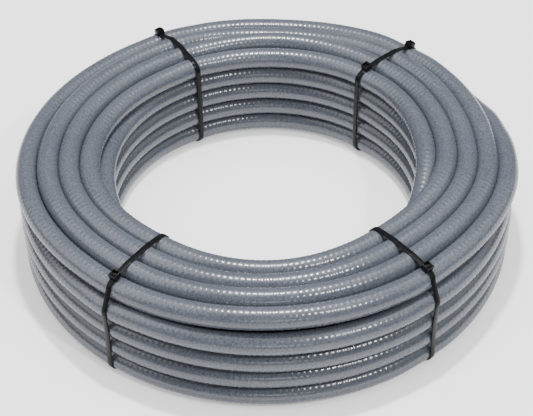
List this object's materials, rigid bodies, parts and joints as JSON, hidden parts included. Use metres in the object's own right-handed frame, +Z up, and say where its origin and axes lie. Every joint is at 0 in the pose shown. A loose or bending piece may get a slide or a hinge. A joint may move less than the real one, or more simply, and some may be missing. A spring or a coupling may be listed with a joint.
{
  "type": "coiled hose",
  "caption": "Long flexible ribbed hose wound into a flat round coil and bound with black cable ties.",
  "frame": {"origin": "centre of the coil, on the surface that it stands on", "axes": "+Z up along the coil's axis; -Y towards the side with the two bindings whose heads sit on the outer top edge in front; +X to the right"},
  "size_m": [0.584, 0.584, 0.1373],
  "materials": {
    "hose": "semi-gloss grey PVC with a fine spiral rib",
    "tie": "black moulded nylon"
  },
  "bodies": {
    "coil": {"hose_coil": "hose", "tie_back_right_a": "tie", "tie_back_right_b": "tie", "tie_back_left_a": "tie", "tie_back_left_b": "tie", "tie_front_left_a": "tie", "tie_front_left_b": "tie", "tie_front_right_a": "tie", "tie_front_right_b": "tie"},
    "tie_back_right_a_pawl": {"tie_back_right_a_pawl": "tie"},
    "tie_back_right_b_pawl": {"tie_back_right_b_pawl": "tie"},
    "tie_back_left_a_pawl": {"tie_back_left_a_pawl": "tie"},
    "tie_back_left_b_pawl": {"tie_back_left_b_pawl": "tie"},
    "tie_front_left_a_pawl": {"tie_front_left_a_pawl": "tie"},
    "tie_front_left_b_pawl": {"tie_front_left_b_pawl": "tie"},
    "tie_front_right_a_pawl": {"tie_front_right_a_pawl": "tie"},
    "tie_front_right_b_pawl": {"tie_front_right_b_pawl": "tie"}
  },
  "joints": [
    {"name": "tie_back_right_a_pawl_flex", "type": "hinge", "parent": "coil", "child": "tie_back_right_a_pawl", "pos_m": [0.18582, 0.19642, 0.12713], "axis": [0.6547, -0.7559, 0], "range_deg": [0, 10], "stiffness_Nm_per_rad": 0.01},
    {"name": "tie_back_right_b_pawl_flex", "type": "hinge", "parent": "coil", "child": "tie_back_right_b_pawl", "pos_m": [0.12738, 0.14579, 0.13005], "axis": [0.6547, -0.7559, 0], "range_deg": [0, 10], "stiffness_Nm_per_rad": 0.01},
    {"name": "tie_back_left_a_pawl_flex", "type": "hinge", "parent": "coil", "child": "tie_back_left_a_pawl", "pos_m": [-0.13318, 0.23283, 0.12761], "axis": [0.8358, 0.549, 0], "range_deg": [0, 10], "stiffness_Nm_per_rad": 0.01},
    {"name": "tie_back_left_b_pawl_flex", "type": "hinge", "parent": "coil", "child": "tie_back_left_b_pawl", "pos_m": [-0.1477, 0.25493, 0.0669], "axis": [0.8358, 0.549, 0], "range_deg": [0, 10], "stiffness_Nm_per_rad": 0.01},
    {"name": "tie_front_left_a_pawl_flex", "type": "hinge", "parent": "coil", "child": "tie_front_left_a_pawl", "pos_m": [-0.15976, -0.21201, 0.12821], "axis": [-0.7986, 0.6018, 0], "range_deg": [0, 10], "stiffness_Nm_per_rad": 0.01},
    {"name": "tie_front_left_b_pawl_flex", "type": "hinge", "parent": "coil", "child": "tie_front_left_b_pawl", "pos_m": [-0.10797, -0.14328, 0.0631], "axis": [-0.7986, 0.6018, 0], "range_deg": [0, 10], "stiffness_Nm_per_rad": 0.01},
    {"name": "tie_front_right_a_pawl_flex", "type": "hinge", "parent": "coil", "child": "tie_front_right_a_pawl", "pos_m": [0.16906, -0.20656, 0.12785], "axis": [-0.7738, -0.6334, 0], "range_deg": [0, 10], "stiffness_Nm_per_rad": 0.01},
    {"name": "tie_front_right_b_pawl_flex", "type": "hinge", "parent": "coil", "child": "tie_front_right_b_pawl", "pos_m": [0.11363, -0.13883, 0.0631], "axis": [-0.7738, -0.6334, 0], "range_deg": [0, 10], "stiffness_Nm_per_rad": 0.01}
  ]
}
